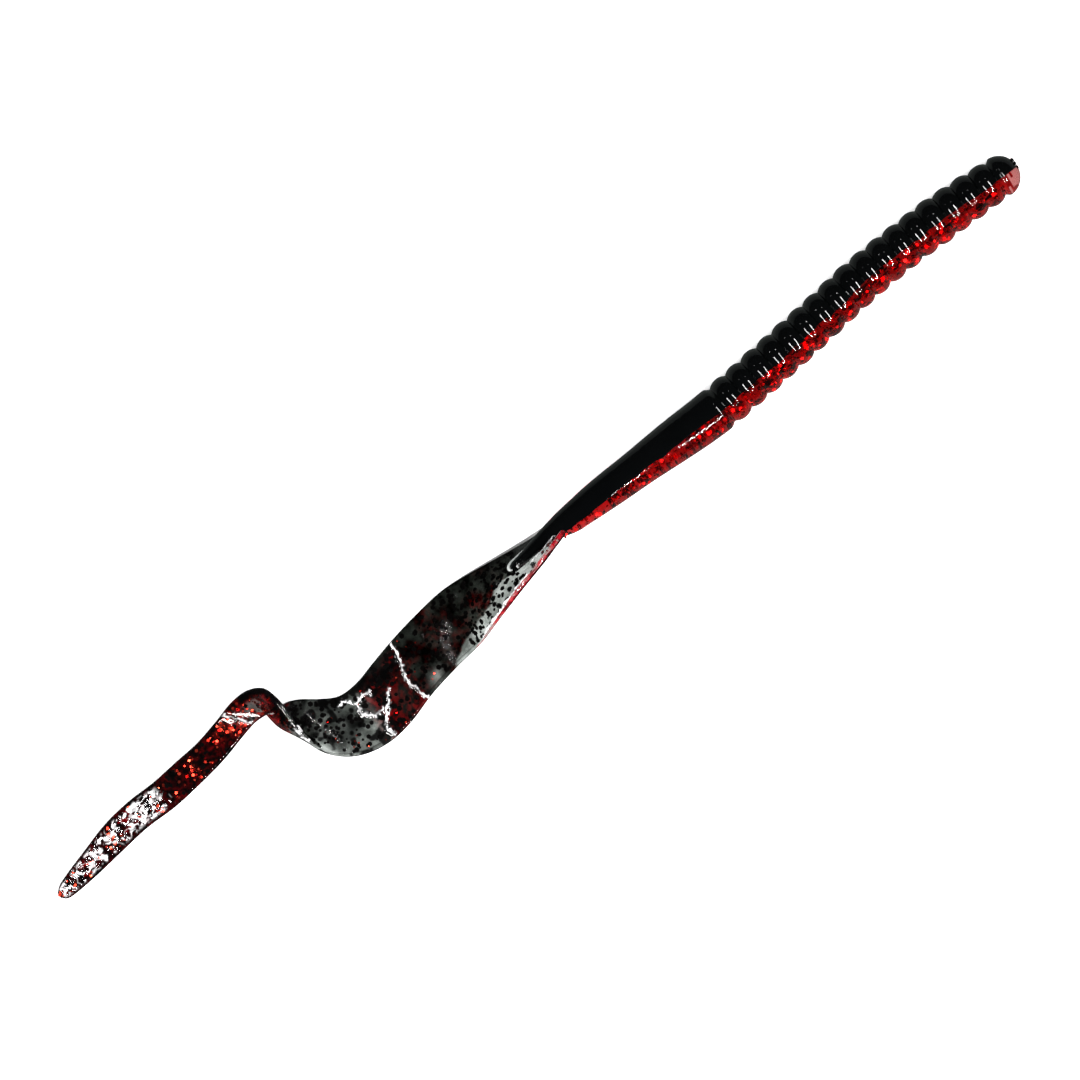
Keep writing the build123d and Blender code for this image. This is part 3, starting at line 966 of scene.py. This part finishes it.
def ribbon_glitter(body, u0, u1, word, material, density):
    """Flakes inside one stretch of the ribbon; the red ones lie in clusters."""
    red = word == "red"
    grid = np.linspace(u0, u1, 60)
    count = max(6, int(ribbon_length(grid) * ribbon_width(grid).mean() * density))
    u = rng.uniform(u0 + 0.03, u1 - 0.03, count)
    width = ribbon_width(u)
    inset = np.minimum(0.8 / width, 0.4)
    v = inset + (1 - 2 * inset) * rng.uniform(0, 1, count)
    normal = ribbon_normal(u, v)
    lift = rng.uniform(-0.35, 0.42, count) * np.minimum(1, width / 4)
    where = ribbon_mid(u, v) + normal * lift[:, None]
    tilt = unit(normal + (0.22 if red else 0.12) * rng.normal(size=(count, 3)))
    if red:
        sizes = FLAKE * rng.uniform(0.3, 0.85 if u0 > LARGER_FROM else 0.5, count)
        keep = noise(where, 2.6, 70.0) > -0.1
    else:
        sizes = rng.uniform(0.4, 1.2, count)
        keep = np.ones(count, bool)
    keep[:3] = True  # never an empty piece
    return flakes(f"glitter_{word}_{body}", where[keep], tilt[keep], sizes[keep], material)


for i, body in enumerate(ribbon_bodies):
    for word, material, density in zip(("red", "dark"), (GLINT_FOIL, DARK_FOIL), RIBBON_FLAKES[body]):
        if density == 0:
            continue
        u0 = max(ribbon_cuts[i], FLAKES_FROM)
        piece = ribbon_glitter(body, u0, ribbon_cuts[i + 1], word, material, density)
        bend(piece)

# ---------------------------------------------------------------- gate mark on the nose


def gate_mark():
    """The rough stub that the mould's gate left on the black side of the nose."""
    centre, up, back = (each[0] for each in core_frame([nose_x - 0.35]))
    forward = np.cross(back, up)
    turn = np.linspace(0, 2 * math.pi, 25)[:-1]
    rows = []
    for reach, height in ((1.0, -0.5), (1.05, 0.1), (0.85, 0.32), (0.45, 0.22), (0.1, 0.34)):
        ragged = 1 + 0.22 * np.sin(3 * turn + 9 * reach) + 0.16 * np.sin(7 * turn + 4 * height)
        upward = (np.cos(turn) * 0.55 * reach * ragged)[:, None] * up + up * 1.2
        backward = (np.sin(turn) * 1.15 * reach * ragged)[:, None] * back + back * 0.6
        outward = (height + 0.12 * np.sin(5 * turn) * reach)[:, None] * forward
        rows.append(centre + upward + backward + outward)
    faces = tube_faces(len(rows), len(turn))
    piece = make_mesh("gate_mark", np.vstack(rows), faces, [BLACK])
    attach(piece, "head")


gate_mark()

# ---------------------------------------------------------------- bead where the core ends on the ribbon


def core_fillet():
    """The pale bead that joins the black core's end to the ribbon, along one side and round the end."""
    bead = 0.32
    sides = 8
    ease = 4  # the bead thins out over this many rows at each end
    lift = RIBBON_THICKNESS / 2 + 0.05
    xs = np.linspace(core_x - 6.0, core_end_x + CORE_END_RADIUS, 30)
    centre, up, back = core_frame(xs)
    reach = np.sqrt(np.array([body_radius(x) for x in xs]) ** 2 - lift**2) + 0.25
    line = list(centre - up * reach[:, None] + back * lift)
    forward = np.cross(back[-1], up[-1])
    for turn in np.radians(np.arange(12, 145, 12)):
        outward = up[-1] * math.cos(turn) + forward * math.sin(turn)
        line.append(centre[-1] - outward * reach[-1] + back[-1] * lift)
    line = np.array(line)
    along = unit(np.gradient(line, axis=0))
    out = unit(np.cross(along, back[-1]))
    over = np.cross(out, along)
    row = np.arange(len(line)) + 1
    thick = bead * np.minimum(1, np.minimum(row, row[::-1]) / ease)
    turn = np.arange(sides) * 2 * math.pi / sides
    rows = line[:, None] + thick[:, None, None] * (
        np.cos(turn)[None, :, None] * out[:, None] + np.sin(turn)[None, :, None] * over[:, None]
    )
    piece = make_mesh("core_fillet", rows.reshape(-1, 3), tube_faces(len(line), sides), [PALE])
    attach(piece, "tail_root")


core_fillet()

# ---------------------------------------------------------------- floor, light, camera

VIEW_CENTRE = (-0.0007, -0.0005)
VIEW_WIDTH = 0.216
VIEW_TURN = math.radians(38.5)

scene = bpy.context.scene
scene.view_settings.view_transform = "Standard"


def make_floor():
    """A pale floor, which is dim where it is mirrored in the worm and pale again through its red half."""
    material = new_material("floor")
    pale = add(
        material,
        "ShaderNodeBsdfPrincipled",
        Base_Color=(0.75, 0.75, 0.75, 1),
        Roughness=0.9,
        Specular_IOR_Level=0.0,
        Emission_Color=(1, 1, 1, 1),
        Emission_Strength=0.5,
    )
    dim = add(material, "ShaderNodeBsdfDiffuse", Color=(0.09, 0.10, 0.095, 1))
    ray = add(material, "ShaderNodeLightPath")
    glossy, transmitted = ray.outputs["Is Glossy Ray"], ray.outputs["Is Transmission Ray"]
    mirrored = maths(material, "SUBTRACT", glossy, transmitted, clamp=True)
    finish_material(material, mixed(material, mirrored, pale, dim))
    half = 900
    corners = [(-half, -half, 0), (half, -half, 0), (half, half, 0), (-half, half, 0)]
    floor = make_mesh("floor", corners, [(0, 1, 2, 3)], [material], smooth=False)


def area_light(name, place, target, size_x, size_y, radiance):
    """A rectangular lamp that faces its target, in metres."""
    data = bpy.data.lights.new(name, "AREA")
    data.shape = "RECTANGLE"
    data.size, data.size_y = size_x, size_y
    data.energy = radiance * math.pi * size_x * size_y
    light = bpy.data.objects.new(name, data)
    scene.collection.objects.link(light)
    light.location = place
    light.rotation_euler = (Vector(target) - Vector(place)).to_track_quat("-Z", "Y").to_euler()


def make_world():
    """A faint white light from all round."""
    world = bpy.data.worlds.new("world")
    scene.world = world
    world.use_nodes = True
    background = world.node_tree.nodes["Background"]
    background.inputs["Color"].default_value = (1, 1, 1, 1)
    background.inputs["Strength"].default_value = 0.05


def make_lights():
    """Light tubes over the worm, two along Y and two broken ones across at the -Y end, and two spots."""
    height = 1.2
    spread = height * math.tan(math.radians(23))
    near = height * math.tan(math.radians(11))
    far = -height * math.tan(math.radians(41))
    tube = 0.10
    gap = (-0.33, -0.07)
    for name, x in (("tube_1", spread), ("tube_2", -spread)):
        place = (x, (near + far) / 2, height)
        area_light(name, place, (x, place[1], 0), tube, near - far, 75)
    for name, y, thick in (("tube_3", far, 0.055), ("tube_4", far + 0.15, 0.03)):
        for part, left, right in (("left", -spread, gap[0]), ("right", gap[1], spread)):
            middle = (left + right) / 2
            area_light(f"{name}_{part}", (middle, y, height), (middle, y, 0), right - left - tube, thick, 120)
    for name, x, y in (("spot_1", 0.42, 0.66), ("spot_2", -0.50, 0.95)):
        area_light(name, (x, y, 1.0), (0, 0, 0), 0.05, 0.05, 60)


def make_camera():
    """Straight above the worm, turned to the photograph's angle."""
    data = bpy.data.cameras.new("camera")
    data.lens = 250.0
    data.sensor_width = 36.0
    data.clip_start = 0.01
    data.clip_end = 10
    camera = bpy.data.objects.new("camera", data)
    scene.collection.objects.link(camera)
    distance = VIEW_WIDTH / data.sensor_width * data.lens
    camera.location = (*VIEW_CENTRE, distance)
    camera.rotation_euler = (0, 0, -VIEW_TURN)
    scene.camera = camera


make_floor()
make_world()
make_lights()
make_camera()
